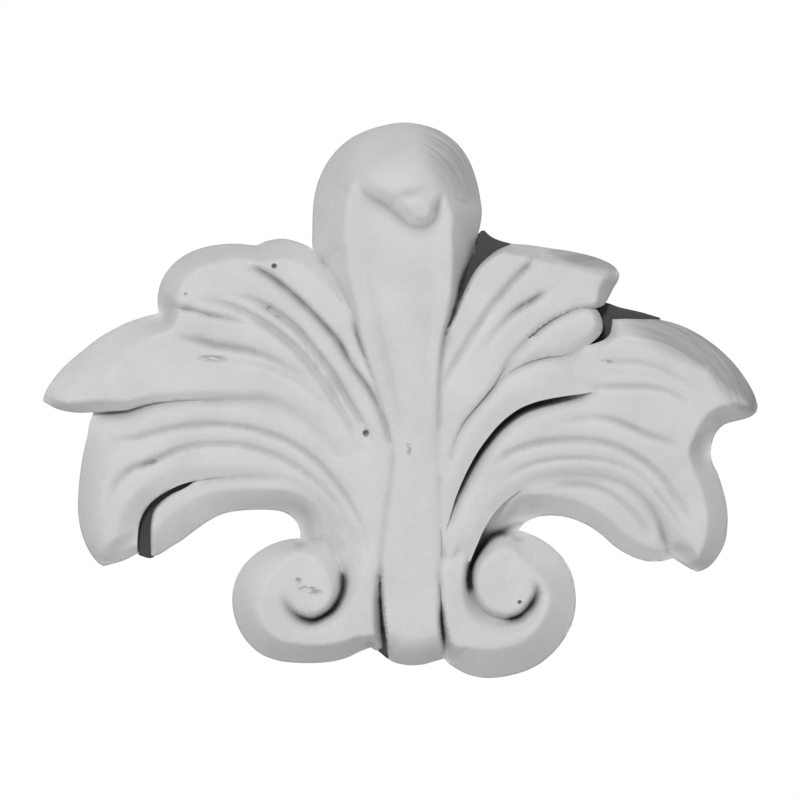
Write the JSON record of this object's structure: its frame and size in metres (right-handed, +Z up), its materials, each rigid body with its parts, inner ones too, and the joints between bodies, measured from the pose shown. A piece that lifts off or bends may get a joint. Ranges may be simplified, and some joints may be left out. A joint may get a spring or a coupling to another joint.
{
  "type": "carved leaf and scroll onlay",
  "caption": "Flat-backed cast onlay: round-headed fluted stem, leaf fronds spreading to both sides and scrolls at the foot.",
  "frame": {"origin": "on the flat back face, halfway across the width and halfway up the height of the onlay", "axes": "+X to the viewer's right along the width, +Y back into the wall or panel, +Z up towards the round head; the carved face looks along -Y"},
  "size_m": [0.1556, 0.0169, 0.1209],
  "materials": {
    "primed_urethane": "smooth moulded urethane in white factory primer"
  },
  "bodies": {
    "root": {"leaf_onlay": "primed_urethane"}
  },
  "joints": []
}
